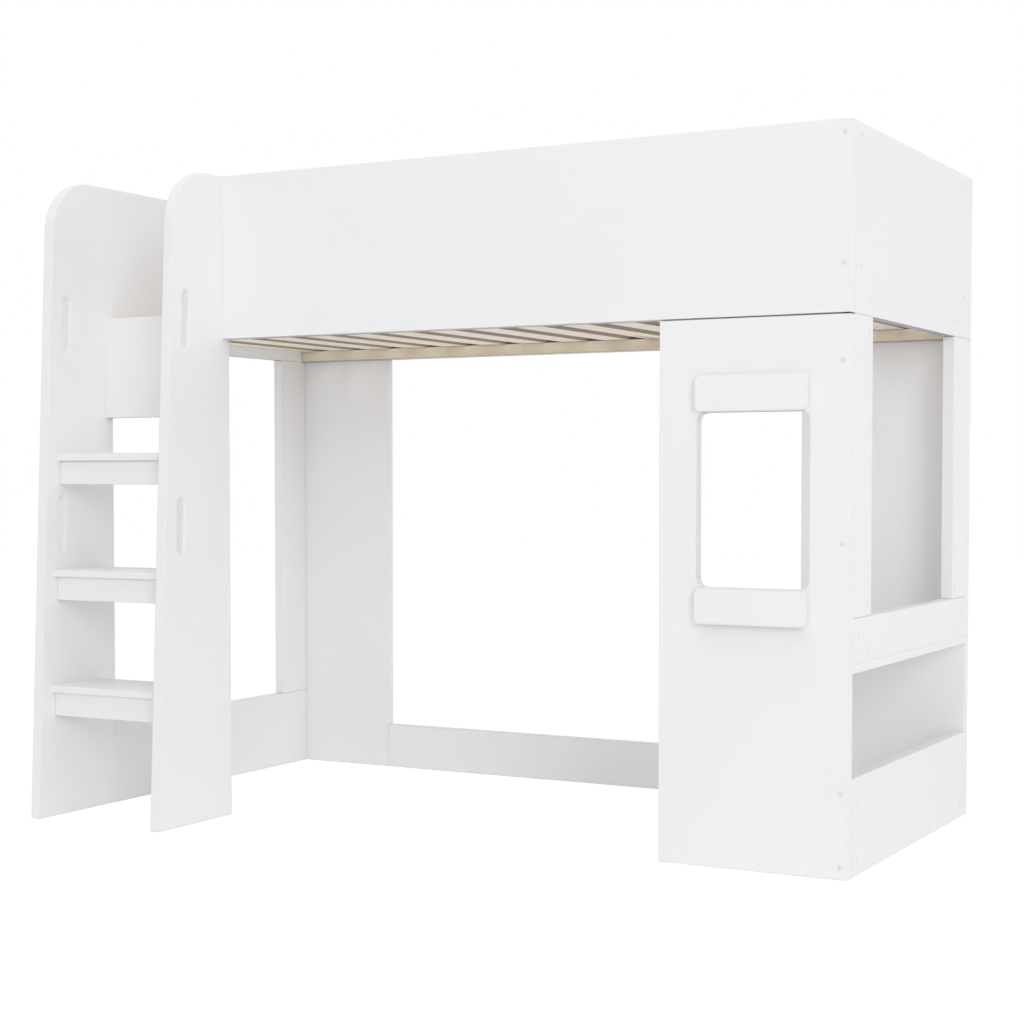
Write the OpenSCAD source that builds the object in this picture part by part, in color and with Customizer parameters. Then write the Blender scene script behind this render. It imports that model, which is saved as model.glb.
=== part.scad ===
// Loft bed for one standard mattress, made of lacquered boards.
// Three treads between two side panels lead up at the front left corner.
// A front leg board with a window opening stands at the front right corner.
// X runs from the left end to the right end, Y from the front boards to the
// rear boards, Z up from the floor. All lengths are in millimetres.
// The origin is on the floor, at the centre of the bed's outline.

/* [Overall] */
// Length over both end faces
length = 2100; // [2000:10:2300]
// Width over the front and the rear boards
width = 960; // [900:10:1100]
// Height of the guards above the floor
height = 1650; // [1600:10:1750]
// Thickness of the main boards
board = 30; // [27:1:32]
// Thickness of the treads, the shelf and the window trims
thin_board = 20; // [18:1:22]
// Radius of the softened long edges
edge_radius = 2; // [1:0.5:3]

/* [Guards and legs] */
// Height of the four guard boards
guard_height = 415; // [380:5:440]
// Width of the front leg board with the window
window_panel_width = 450; // [430:5:500]
// Gap between the window panel and the front guard above it
shadow_gap = 3; // [2:0.5:6]
// Width of the rear leg board at the right
rear_right_width = 450; // [400:5:520]
// Width of the rear leg board at the left
rear_left_width = 330; // [300:5:400]
// Height of the bottom rail between the rear leg boards
rear_rail_height = 128; // [110:2:150]

/* [End frames] */
// Width of the upright strips in the end frames
strip_width = 124; // [116:2:140]
// Height of the bottom rails in the end frames
bottom_rail_height = 219; // [210:1:240]
// Height of the shelf's underside above the floor
shelf_bottom = 449; // [430:1:470]
// Height of the rail that stands on the shelf's outer edge
upper_rail_height = 102; // [100:1:120]

/* [Window] */
// Width of the window opening and of its two trims
window_width = 266; // [220:2:290]
// Height of the window opening
window_height = 392; // [340:2:400]
// Distance of the opening's upper edge below the panel's top
window_drop = 208; // [180:1:240]
// Corner radius of the opening
window_corner = 20; // [10:1:30]
// Height of the trim above the opening and of the trim below it
trim_height = 83; // [70:1:90]
// Corner radius of the trims
trim_corner = 15; // [8:1:20]

/* [Stairs] */
// Clear width between the two side panels
stair_clear_width = 360; // [340:5:400]
// How far the side panels reach in front of the bed at the floor
stair_reach = 269; // [260:1:290]
// Angle at which the side panels' front edge leans back, in degrees
stair_lean_angle = 2.7; // [2:0.1:3.5]
// Radius of the rounded shoulder at the top of the side panels
shoulder_radius = 143; // [120:1:150]
// Height of the lowest tread's upper face above the floor
first_tread_top = 342; // [320:1:350]
// Rise from one tread to the next
tread_rise = 299.5; // [285:0.5:305]
// Distance of a tread's front edge behind the side panels' front edge
tread_setback = 33; // [25:1:40]
// Distance of the treads' rear edge in front of the bed's front face
tread_rear_gap = 20; // [10:1:30]
// Height of the stiffener board below each tread
stiffener_height = 60; // [50:1:70]
// Distance of a stiffener behind the front edge of its tread
stiffener_setback = 13; // [8:1:20]
// Height of the board that closes the front below the way in
entry_height = 264; // [240:2:280]
// Height of that board's upper edge above the guards' lower edge
entry_rise = 67; // [50:1:80]

/* [Hand slots] */
// Length of a hand slot over its round ends
slot_length = 138; // [120:1:150]
// Width of a hand slot
slot_width = 22; // [20:1:30]
// Distance of the slots' middle line behind the panel's front edge
slot_setback = 62; // [50:1:70]
// Height of the lower slot's centre above the floor
low_slot_height = 759; // [740:1:780]
// Height of the upper slot's centre above the floor
high_slot_height = 1276; // [1250:1:1300]

/* [Slats] */
// Height of the ledgers under the slats
ledger_height = 30; // [26:1:36]
// Thickness of the ledgers, away from the boards they are fixed to
ledger_thickness = 20; // [18:1:24]
// Height of the ledgers' lower edge above the guards' lower edge
ledger_rise = 1; // [0:0.5:5]
// Thickness of the slats
slat_thickness = 20; // [17:1:22]
// Width of the equal slats
slat_width = 76; // [70:1:80]
// Distance between the middles of neighbouring slats
slat_pitch = 132.3; // [128:0.1:134]
// Least width of the narrow slat that fills the left end
least_end_slat = 20; // [15:1:30]
// Room between a slat's end and the board beside it
slat_end_room = 2; // [1:0.5:4]

/* [Fittings] */
// Diameter of a cam housing
cam_diameter = 15; // [14:0.5:16]
// Depth of a cam housing
cam_depth = 12.5; // [12:0.25:12.75]
// Distance of a cam's centre from the joint it closes
cam_reach = 39; // [34:1:42]
// Depth of a cam dowel's axis below the face with the housing
cam_axis_depth = 8; // [7.5:0.25:8.5]
// Shaft diameter of a cam dowel
cam_dowel_diameter = 7; // [6:0.25:7]
// Thread diameter of a cam dowel
cam_thread_diameter = 6; // [5:0.25:6]
// Length of a cam dowel's thread in the mating board
cam_thread_length = 11; // [9:0.5:12]
// Shaft diameter of a frame screw
frame_screw_diameter = 7; // [6:0.25:7]
// Length of a frame screw
frame_screw_length = 70; // [60:1:72]
// Head diameter of a frame screw
frame_head_diameter = 12; // [10:0.5:12.5]
// Head height of a frame screw
frame_head_height = 4; // [3:0.5:5]
// Distance of the frame screws from the bed's end faces
frame_screw_inset = 16.5; // [16.5:0.25:17.5]
// Shaft diameter of the small screws
wood_screw_diameter = 4; // [3.5:0.25:4.5]
// Head diameter of the small screws
wood_screw_head = 8; // [7:0.5:9]
// Length of the small screws
wood_screw_length = 42; // [38:1:42]
// Diameter of the wooden dowels
dowel_diameter = 8; // [6:0.5:8]
// Length of the wooden dowels
dowel_length = 36; // [30:1:38]
// Free space around housings, shafts and heads in their bored holes
bore_room = 0.2; // [0.1:0.05:0.3]

/* [Hidden] */
$fn = 32;

lacquer = [0.93, 0.93, 0.925];
pine = [0.80, 0.68, 0.50];
zinc = [0.80, 0.81, 0.82];
beech = [0.78, 0.62, 0.44];

// Length of a cutter beyond the face it opens
past = 1;
inner_length = length - 2 * board;
inner_width = width - 2 * board;
inner_right = length - board;
inner_rear = width - board;
guard_bottom = height - guard_height;
window_panel_left = length - window_panel_width;
window_panel_top = guard_bottom - shadow_gap;
window_middle = length - window_panel_width / 2;
window_top = window_panel_top - window_drop;
window_bottom = window_top - window_height;
rear_right_left = length - rear_right_width;
strip_rear_front = inner_rear - strip_width;
shelf_top = shelf_bottom + thin_board;
upper_rail_top = shelf_top + upper_rail_height;

stair_inner_right = board + stair_clear_width;
stair_outer_right = stair_inner_right + board;
lean = tan(stair_lean_angle);
tread_length = stair_clear_width;
entry_top = guard_bottom + entry_rise;
entry_bottom = entry_top - entry_height;

ledger_bottom = guard_bottom + ledger_rise;
ledger_top = ledger_bottom + ledger_height;
ledger_middle = ledger_bottom + ledger_height / 2;
slat_top = ledger_top + slat_thickness;
slat_length = inner_width - 2 * slat_end_room;
// As many whole slats as fit, and a narrow one for the rest of the length
slat_count = floor(inner_length / slat_pitch);
slat_rest = inner_length - slat_count * slat_pitch;
end_slat_width = max(least_end_slat, min(slat_width, slat_rest));
last_slat_middle = inner_right - slat_width / 2;
end_slat_middle = board + end_slat_width / 2;
slat_middles = [for (i = [0 : slat_count - 1]) last_slat_middle - i * slat_pitch];

// Heights of the frame screws along a corner of the bed
guard_screw_rise = 106;
guard_screw_drop = 29;
leg_screw_drop = 104;
leg_screw_height = 734;
rail_screw_heights = [28, 188];
guard_fitting_heights = [guard_bottom + guard_screw_rise, height - guard_screw_drop];
frame_screw_heights = concat(
    rail_screw_heights, [leg_screw_height, guard_bottom - leg_screw_drop],
    guard_fitting_heights);
frame_socket_width = 4;
frame_socket_depth = 2.5;

// Places of the cams in the end frames
rail_cam_heights = [35, 163];
upper_rail_cam_rise = 66;
strip_cam_inset = 100;
upper_rail_cam_drop = 77;
strip_cam_rise = 29;
cam_slot_length = 8;
cam_slot_width = 1.5;
cam_slot_depth = 2;
front_cam_y = board + cam_reach;
rear_cam_y = inner_rear - cam_reach;
front_link_y = board + strip_cam_inset;
rear_link_y = inner_rear - strip_cam_inset;
right_cam_heights = concat(
    rail_cam_heights, [shelf_top + upper_rail_cam_rise], guard_fitting_heights);
left_cam_heights = concat(rail_cam_heights, guard_fitting_heights);

// Lower ends and lengths of the upright double-ended dowels
guard_link = [guard_bottom - cam_reach, 2 * cam_reach];
rail_link = [upper_rail_top - upper_rail_cam_drop, upper_rail_cam_drop + strip_cam_rise];
left_rail_link = [bottom_rail_height - cam_reach, 2 * cam_reach];

// Places of the cams on the rear face
leg_cam_inset = 60;
rear_link_places = [
    leg_cam_inset, rear_left_width - leg_cam_inset,
    rear_right_left + leg_cam_inset, length - leg_cam_inset];
rear_rail_cam_height = rear_rail_height / 2;

// Places of the cams in the stairs and under the shelf
stair_cam_left = board + cam_reach;
stair_cam_right = stair_inner_right - cam_reach;
tread_cam_front = 60;
tread_cam_rear = 40;
entry_cam_rises = [52, 162];
shelf_cam_inset = 80;
shelf_cam_places = [window_panel_left + shelf_cam_inset, length - shelf_cam_inset];
dowel_panel_depth = 12;

// Places of the ledger dowels, each beyond one of the slats counted from the
// right end, and their depth in the ledger
dowel_slat_numbers = [1, 4, 7, 10, 13];
ledger_dowel_places = [
    for (i = dowel_slat_numbers) last_slat_middle - (i + 0.5) * slat_pitch];
ledger_dowel_depth = 14;
// Distance of the trim screws from the trims' ends
trim_screw_inset = 43;
wood_head_height = 2.5;

// The side panels' front edge at a height above the floor
function stair_front(h) = -stair_reach + lean * h;
function tread_top(n) = first_tread_top + n * tread_rise;
function tread_bottom(n) = tread_top(n) - thin_board;
function tread_front(n) = stair_front(tread_top(n)) + tread_setback;
function stiffener_front(n) = tread_front(n) + stiffener_setback;
function stiffener_middle(n) = tread_bottom(n) - stiffener_height / 2;

// Moves the bed so that the centre of its outline is the origin
module placed() {
    translate([-length / 2, (stair_reach - width) / 2, 0]) children();
}

// Rectangle with round corners, its lower left corner at the origin
module soft_rectangle(a, b, r) {
    translate([r, 0]) square([a - 2 * r, b]);
    translate([0, r]) square([a, b - 2 * r]);
    for (u = [r, a - r]) {
        for (v = [r, b - r]) {
            translate([u, v]) circle(r = r);
        }
    }
}

// Board that runs along X with softened long edges
module board_along_x(corner, run, thick, high) {
    translate(corner)
        rotate([90, 0, 90])
            linear_extrude(run) soft_rectangle(thick, high, edge_radius);
}

// Board that runs along Y with softened long edges
module board_along_y(corner, run, thick, high) {
    translate(corner + [0, run, 0])
        rotate([90, 0, 0])
            linear_extrude(run) soft_rectangle(thick, high, edge_radius);
}

// Board that stands upright with softened long edges
module board_upright(corner, run, wide, deep) {
    translate(corner) linear_extrude(run) soft_rectangle(wide, deep, edge_radius);
}

// Plate that lies in the plane of the front boards, with round corners
module front_plate(corner, thick, wide, high, r) {
    translate(corner + [0, thick, 0])
        rotate([90, 0, 0])
            linear_extrude(thick) soft_rectangle(wide, high, r);
}

// Local frames of the fittings: Z points out of the face that holds a cam,
// and X points along the cam's dowel towards the joint.

// Frame on the right end face, dowel along +Y, -Y, up or down by the turn
module on_right_face(y, z, turn) {
    translate([length, y, z])
        rotate([turn, 0, 0])
            rotate([0, 90, 0]) children();
}

// Frame on the left end face
module on_left_face(y, z, turn) {
    translate([0, y, z])
        rotate([turn, 0, 0])
            rotate([0, -90, 0]) children();
}

// Frame on a rear face at the depth y
module on_rear_face(x, y, z, turn) {
    translate([x, y, z])
        rotate([0, turn, 0])
            rotate([-90, 0, 0]) children();
}

// Frame on an underside
module on_underside(x, y, z, turn) {
    translate([x, y, z])
        rotate([0, 0, turn])
            rotate([180, 0, 0]) children();
}

// Cam housing with its mouth for the dowel and its driver slot
module cam_housing() {
    difference() {
        translate([0, 0, -cam_depth]) cylinder(d = cam_diameter, h = cam_depth);
        translate([0, 0, -cam_axis_depth])
            rotate([0, 90, 0]) cylinder(d = cam_dowel_diameter, h = cam_diameter);
        translate([-cam_slot_length / 2, -cam_slot_width / 2, -cam_slot_depth])
            cube([cam_slot_length, cam_slot_width, cam_slot_depth + past]);
    }
}

// Bored seat of a cam housing
module cam_seat() {
    translate([0, 0, -cam_depth])
        cylinder(d = cam_diameter + 2 * bore_room, h = cam_depth + past);
}

// Straight rod along the dowel's axis
module cam_rod(diameter, start, run) {
    translate([start, 0, -cam_axis_depth])
        rotate([0, 90, 0]) cylinder(d = diameter, h = run);
}

// Dowel with a thread at its far end, for a board that stands across the joint
module cam_dowel() {
    cam_rod(cam_dowel_diameter, 0, cam_reach);
    cam_rod(cam_thread_diameter, cam_reach, cam_thread_length);
}

// Bored hole of such a dowel
module cam_dowel_hole() {
    cam_rod(cam_dowel_diameter + 2 * bore_room, 0, cam_reach);
    cam_rod(cam_thread_diameter, cam_reach, cam_thread_length);
}

// Housing seat and dowel hole together
module cam_bores() {
    cam_seat();
    cam_dowel_hole();
}

// Both seats and the hole of a double-ended dowel
module link_bores(run) {
    cam_seat();
    cam_rod(cam_dowel_diameter + 2 * bore_room, 0, run);
    translate([run, 0, 0]) cam_seat();
}

// Both housings of a double-ended dowel
module link_housings(run) {
    cam_housing();
    translate([run, 0, 0]) rotate([0, 0, 180]) cam_housing();
}

// Frame screw along Z, its head's top at the origin and its tip below
module frame_screw() {
    difference() {
        union() {
            translate([0, 0, -frame_head_height])
                cylinder(d = frame_head_diameter, h = frame_head_height);
            translate([0, 0, -frame_screw_length])
                cylinder(d = frame_screw_diameter, h = frame_screw_length - frame_head_height);
        }
        translate([0, 0, -frame_socket_depth])
            linear_extrude(frame_socket_depth + past)
                polygon([for (i = [0 : 5])
                    frame_socket_width / sqrt(3) * [cos(60 * i), sin(60 * i)]]);
    }
}

// Bored hole of a frame screw
module frame_screw_hole() {
    translate([0, 0, -frame_head_height])
        cylinder(d = frame_head_diameter + 2 * bore_room, h = frame_head_height + past);
    translate([0, 0, -frame_screw_length])
        cylinder(d = frame_screw_diameter, h = frame_screw_length);
}

// Small countersunk screw along Z, its head's top at the origin
module wood_screw() {
    rotate_extrude()
        polygon([
            [0, 0],
            [wood_screw_head / 2, 0],
            [wood_screw_diameter / 2, -wood_head_height],
            [wood_screw_diameter / 2, -wood_screw_length],
            [0, -wood_screw_length]]);
}

// Cams of the right end frame: single dowels towards the front and the rear
// boards, and upright double-ended dowels at the seams of the two strips
module each_right_single() {
    for (h = right_cam_heights) {
        on_right_face(front_cam_y, h, -90) children();
        on_right_face(rear_cam_y, h, 90) children();
    }
}

module each_right_guard_link() {
    for (y = [front_link_y, rear_link_y]) {
        on_right_face(y, guard_link[0], 180) children();
    }
}

module each_right_rail_link() {
    for (y = [front_link_y, rear_link_y]) {
        on_right_face(y, rail_link[0], 180) children();
    }
}

// Frame screws at the right: through the front boards and the rear boards
module each_right_screw() {
    for (h = frame_screw_heights) {
        translate([length - frame_screw_inset, 0, h])
            rotate([90, 0, 0]) children();
        translate([length - frame_screw_inset, width, h])
            rotate([-90, 0, 0]) children();
    }
}

// Cams under the shelf, towards the window panel and the rear leg board
module each_shelf_cam() {
    for (x = shelf_cam_places) {
        on_underside(x, front_cam_y, shelf_bottom, -90) children();
        on_underside(x, rear_cam_y, shelf_bottom, 90) children();
    }
}

// Everything bored around the right end frame
module right_bores() {
    each_right_single() cam_bores();
    each_right_guard_link() link_bores(guard_link[1]);
    each_right_rail_link() link_bores(rail_link[1]);
    each_right_screw() frame_screw_hole();
    each_shelf_cam() cam_bores();
}

// Cams of the left end frame: single dowels towards the rear boards, level
// double-ended dowels into the stair panel, upright ones at the strip's seams
module each_left_single() {
    for (h = left_cam_heights) {
        on_left_face(rear_cam_y, h, -90) children();
    }
}

module each_left_stair_link() {
    for (h = left_cam_heights) {
        on_left_face(board - cam_reach, h, -90) children();
    }
}

module each_left_guard_link() {
    on_left_face(rear_link_y, guard_link[0], 0) children();
}

module each_left_rail_link() {
    on_left_face(rear_link_y, left_rail_link[0], 0) children();
}

// Frame screws at the left, through the rear boards
module each_left_screw() {
    for (h = frame_screw_heights) {
        translate([frame_screw_inset, width, h])
            rotate([-90, 0, 0]) children();
    }
}

// Everything bored around the left end frame
module left_bores() {
    each_left_single() cam_bores();
    each_left_stair_link() link_bores(2 * cam_reach);
    each_left_guard_link() link_bores(guard_link[1]);
    each_left_rail_link() link_bores(left_rail_link[1]);
    each_left_screw() frame_screw_hole();
}

// Double-ended dowels on the rear face: upright ones between the leg boards
// and the guard, level ones between the leg boards and the bottom rail
module each_rear_guard_link() {
    for (x = rear_link_places) {
        on_rear_face(x, width, guard_link[0], -90) children();
    }
}

module each_rear_rail_link() {
    for (x = [rear_left_width - cam_reach, rear_right_left - cam_reach]) {
        on_rear_face(x, width, rear_rail_cam_height, 0) children();
    }
}

// Everything bored around the rear seams
module rear_bores() {
    each_rear_guard_link() link_bores(guard_link[1]);
    each_rear_rail_link() link_bores(2 * cam_reach);
}

// Cams under the treads, towards both side panels
module each_tread_cam(n) {
    for (y = [tread_front(n) + tread_cam_front, -tread_rear_gap - tread_cam_rear]) {
        on_underside(stair_cam_left, y, tread_bottom(n), 180) children();
        on_underside(stair_cam_right, y, tread_bottom(n), 0) children();
    }
}

// Cams in the entry board's rear face, towards both side panels
module each_entry_cam() {
    for (rise = entry_cam_rises) {
        on_rear_face(stair_cam_left, board, entry_bottom + rise, 180) children();
        on_rear_face(stair_cam_right, board, entry_bottom + rise, 0) children();
    }
}

// Wooden dowels in both ends of a stiffener, one third of each in a side panel
module end_dowels(n) {
    middle = stiffener_front(n) + thin_board / 2;
    for (x = [board - dowel_panel_depth, stair_inner_right + dowel_panel_depth - dowel_length]) {
        translate([x, middle, stiffener_middle(n)])
            rotate([0, 90, 0]) cylinder(d = dowel_diameter, h = dowel_length);
    }
}

// Frame screws from the stairs through the right panel into the front guard
module each_stair_screw() {
    for (h = guard_fitting_heights) {
        translate([stair_inner_right, board / 2, h])
            rotate([0, -90, 0]) children();
    }
}

// Everything bored in the side panels and in what stands between them
module stair_bores() {
    for (n = [0 : 2]) {
        each_tread_cam(n) cam_bores();
        end_dowels(n);
    }
    each_entry_cam() cam_bores();
    each_stair_screw() frame_screw_hole();
}

// Glued wooden dowels that reach from the ledgers into the guards and, at the
// stairs, into the entry board
module front_dowels() {
    for (x = ledger_dowel_places) {
        translate([x, board + ledger_dowel_depth, ledger_middle])
            rotate([90, 0, 0]) cylinder(d = dowel_diameter, h = dowel_length);
    }
}

module rear_dowels() {
    for (x = ledger_dowel_places) {
        translate([x, inner_rear - ledger_dowel_depth, ledger_middle])
            rotate([-90, 0, 0]) cylinder(d = dowel_diameter, h = dowel_length);
    }
}

// Screws through both ends of a slat into the ledgers
module slat_end_screws(x) {
    for (y = [board + ledger_thickness / 2, inner_rear - ledger_thickness / 2]) {
        translate([x, y, slat_top]) wood_screw();
    }
}

module all_slat_screws() {
    for (x = slat_middles) {
        slat_end_screws(x);
    }
    slat_end_screws(end_slat_middle);
}

// Screws from behind the window panel into the two trims
module all_trim_screws() {
    reach = window_width / 2 - trim_screw_inset;
    for (x = [window_middle - reach, window_middle + reach]) {
        for (z = [window_top + trim_height / 2, window_bottom - trim_height / 2]) {
            translate([x, board, z]) rotate([-90, 0, 0]) wood_screw();
        }
    }
}

// Front boards

module front_guard() {
    color(lacquer)
        difference() {
            board_along_x([stair_outer_right, 0, guard_bottom],
                length - stair_outer_right, board, guard_height);
            right_bores();
            each_stair_screw() frame_screw_hole();
            front_dowels();
        }
}

module window_panel() {
    color(lacquer)
        difference() {
            board_upright([window_panel_left, 0, 0], window_panel_top,
                window_panel_width, board);
            front_plate([window_middle - window_width / 2, -past, window_bottom],
                board + 2 * past, window_width, window_height, window_corner);
            right_bores();
            all_trim_screws();
        }
}

module window_trim(bottom) {
    difference() {
        front_plate([window_middle - window_width / 2, -thin_board, bottom],
            thin_board, window_width, trim_height, trim_corner);
        all_trim_screws();
    }
}

module window_lintel() {
    color(lacquer) window_trim(window_top);
}

module window_sill() {
    color(lacquer) window_trim(window_bottom - trim_height);
}

// Right end frame

module right_end_guard() {
    color(lacquer)
        difference() {
            board_along_y([inner_right, board, guard_bottom], inner_width, board, guard_height);
            right_bores();
        }
}

module right_strip(front) {
    difference() {
        board_upright([inner_right, front, upper_rail_top],
            guard_bottom - upper_rail_top, board, strip_width);
        right_bores();
    }
}

module right_front_strip() {
    color(lacquer) right_strip(board);
}

module right_rear_strip() {
    color(lacquer) right_strip(strip_rear_front);
}

module right_upper_rail() {
    color(lacquer)
        difference() {
            board_along_y([inner_right, board, shelf_top], inner_width, board, upper_rail_height);
            right_bores();
        }
}

module side_shelf() {
    color(lacquer)
        difference() {
            board_along_y([window_panel_left, board, shelf_bottom],
                inner_width, window_panel_width, thin_board);
            right_bores();
        }
}

module right_bottom_rail() {
    color(lacquer)
        difference() {
            board_along_y([inner_right, board, 0], inner_width, board, bottom_rail_height);
            right_bores();
        }
}

// Rear boards

module rear_guard() {
    color(lacquer)
        difference() {
            board_along_x([0, inner_rear, guard_bottom], length, board, guard_height);
            right_bores();
            left_bores();
            rear_bores();
            rear_dowels();
        }
}

module rear_right_leg() {
    color(lacquer)
        difference() {
            board_upright([rear_right_left, inner_rear, 0], guard_bottom, rear_right_width, board);
            right_bores();
            rear_bores();
        }
}

module rear_left_leg() {
    color(lacquer)
        difference() {
            board_upright([0, inner_rear, 0], guard_bottom, rear_left_width, board);
            left_bores();
            rear_bores();
        }
}

module rear_bottom_rail() {
    color(lacquer)
        difference() {
            board_along_x([rear_left_width, inner_rear, 0],
                rear_right_left - rear_left_width, board, rear_rail_height);
            rear_bores();
        }
}

// Left end frame

module left_end_guard() {
    color(lacquer)
        difference() {
            board_along_y([0, board, guard_bottom], inner_width, board, guard_height);
            left_bores();
        }
}

module left_rear_strip() {
    color(lacquer)
        difference() {
            board_upright([0, strip_rear_front, bottom_rail_height],
                guard_bottom - bottom_rail_height, board, strip_width);
            left_bores();
        }
}

module left_bottom_rail() {
    color(lacquer)
        difference() {
            board_along_y([0, board, 0], inner_width, board, bottom_rail_height);
            left_bores();
        }
}

// Stairs

// Outline of a side panel: Y runs to the right and Z runs up
module stair_outline() {
    centre_z = height - shoulder_radius;
    centre_y = stair_front(centre_z) + shoulder_radius / cos(stair_lean_angle);
    touch = [
        centre_y - shoulder_radius * cos(stair_lean_angle),
        centre_z + shoulder_radius * sin(stair_lean_angle)];
    polygon([
        [board, 0], [board, height], [centre_y, height],
        [centre_y, centre_z], touch, [stair_front(0), 0]]);
    intersection() {
        translate([centre_y, centre_z]) circle(r = shoulder_radius, $fn = 96);
        translate([centre_y - shoulder_radius, centre_z])
            square([shoulder_radius, shoulder_radius]);
    }
}

// Hand slot with round ends, parallel to the front edge
module hand_slot(middle_height) {
    straight = slot_length - slot_width;
    translate([stair_front(middle_height) + slot_setback, middle_height])
        rotate([0, 0, -stair_lean_angle]) {
            square([slot_width, straight], center = true);
            for (end = [-straight / 2, straight / 2]) {
                translate([0, end]) circle(d = slot_width, $fn = 48);
            }
        }
}

module stair_panel(left) {
    translate([left, 0, 0])
        rotate([90, 0, 90])
            linear_extrude(board)
                difference() {
                    stair_outline();
                    hand_slot(low_slot_height);
                    hand_slot(high_slot_height);
                }
}

module left_stair_panel() {
    color(lacquer)
        difference() {
            stair_panel(0);
            stair_bores();
            left_bores();
        }
}

module right_stair_panel() {
    color(lacquer)
        difference() {
            stair_panel(stair_inner_right);
            stair_bores();
        }
}

module tread(n) {
    difference() {
        board_along_x([board, tread_front(n), tread_bottom(n)],
            tread_length, -tread_rear_gap - tread_front(n), thin_board);
        each_tread_cam(n) cam_bores();
    }
}

module lower_tread() {
    color(lacquer) tread(0);
}

module middle_tread() {
    color(lacquer) tread(1);
}

module upper_tread() {
    color(lacquer) tread(2);
}

module stiffener(n) {
    difference() {
        board_along_x([board, stiffener_front(n), tread_bottom(n) - stiffener_height],
            tread_length, thin_board, stiffener_height);
        end_dowels(n);
    }
}

module lower_stiffener() {
    color(lacquer) stiffener(0);
}

module middle_stiffener() {
    color(lacquer) stiffener(1);
}

module upper_stiffener() {
    color(lacquer) stiffener(2);
}

module entry_board() {
    color(lacquer)
        difference() {
            board_along_x([board, 0, entry_bottom], tread_length, board, entry_height);
            each_entry_cam() cam_bores();
            front_dowels();
        }
}

// Slats and ledgers

module front_ledger() {
    color(pine)
        difference() {
            board_along_x([board, board, ledger_bottom],
                inner_length, ledger_thickness, ledger_height);
            front_dowels();
            all_slat_screws();
        }
}

module rear_ledger() {
    color(pine)
        difference() {
            board_along_x([board, inner_rear - ledger_thickness, ledger_bottom],
                inner_length, ledger_thickness, ledger_height);
            rear_dowels();
            all_slat_screws();
        }
}

module slat(middle, wide) {
    difference() {
        board_along_y([middle - wide / 2, board + slat_end_room, ledger_top],
            slat_length, wide, slat_thickness);
        slat_end_screws(middle);
    }
}

module bed_slats() {
    color(pine)
        for (x = slat_middles) {
            slat(x, slat_width);
        }
}

module end_slat() {
    color(pine) slat(end_slat_middle, end_slat_width);
}

// Fittings

module right_end_cams() {
    color(zinc) {
        each_right_single() cam_housing();
        each_right_guard_link() link_housings(guard_link[1]);
        each_right_rail_link() link_housings(rail_link[1]);
    }
}

module frame_cams() {
    color(zinc) {
        each_left_single() cam_housing();
        each_left_stair_link() link_housings(2 * cam_reach);
        each_left_guard_link() link_housings(guard_link[1]);
        each_left_rail_link() link_housings(left_rail_link[1]);
        each_rear_guard_link() link_housings(guard_link[1]);
        each_rear_rail_link() link_housings(2 * cam_reach);
        each_shelf_cam() cam_housing();
    }
}

module stair_cams() {
    color(zinc) {
        for (n = [0 : 2]) {
            each_tread_cam(n) cam_housing();
        }
        each_entry_cam() cam_housing();
    }
}

module cam_dowels() {
    color(zinc) {
        each_right_single() cam_dowel();
        each_left_single() cam_dowel();
        each_shelf_cam() cam_dowel();
        for (n = [0 : 2]) {
            each_tread_cam(n) cam_dowel();
        }
        each_entry_cam() cam_dowel();
    }
}

module cam_links() {
    color(zinc) {
        each_right_guard_link() cam_rod(cam_dowel_diameter, 0, guard_link[1]);
        each_right_rail_link() cam_rod(cam_dowel_diameter, 0, rail_link[1]);
        each_left_stair_link() cam_rod(cam_dowel_diameter, 0, 2 * cam_reach);
        each_left_guard_link() cam_rod(cam_dowel_diameter, 0, guard_link[1]);
        each_left_rail_link() cam_rod(cam_dowel_diameter, 0, left_rail_link[1]);
        each_rear_guard_link() cam_rod(cam_dowel_diameter, 0, guard_link[1]);
        each_rear_rail_link() cam_rod(cam_dowel_diameter, 0, 2 * cam_reach);
    }
}

module frame_screws() {
    color(zinc) {
        each_right_screw() frame_screw();
        each_left_screw() frame_screw();
        each_stair_screw() frame_screw();
    }
}

module stiffener_dowels() {
    color(beech)
        for (n = [0 : 2]) {
            end_dowels(n);
        }
}

module ledger_dowels() {
    color(beech) {
        front_dowels();
        rear_dowels();
    }
}

module slat_screws() {
    color(zinc) all_slat_screws();
}

module trim_screws() {
    color(zinc) all_trim_screws();
}

placed() front_guard();
placed() window_panel();
placed() window_lintel();
placed() window_sill();
placed() right_end_guard();
placed() right_front_strip();
placed() right_rear_strip();
placed() right_upper_rail();
placed() side_shelf();
placed() right_bottom_rail();
placed() rear_guard();
placed() rear_right_leg();
placed() rear_left_leg();
placed() rear_bottom_rail();
placed() left_end_guard();
placed() left_rear_strip();
placed() left_bottom_rail();
placed() left_stair_panel();
placed() right_stair_panel();
placed() lower_tread();
placed() middle_tread();
placed() upper_tread();
placed() lower_stiffener();
placed() middle_stiffener();
placed() upper_stiffener();
placed() entry_board();
placed() front_ledger();
placed() rear_ledger();
placed() bed_slats();
placed() end_slat();
placed() right_end_cams();
placed() frame_cams();
placed() stair_cams();
placed() cam_dowels();
placed() cam_links();
placed() frame_screws();
placed() stiffener_dowels();
placed() ledger_dowels();
placed() slat_screws();
placed() trim_screws();
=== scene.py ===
import math

import bmesh
import bpy
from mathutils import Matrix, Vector
from mathutils.geometry import delaunay_2d_cdt


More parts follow.
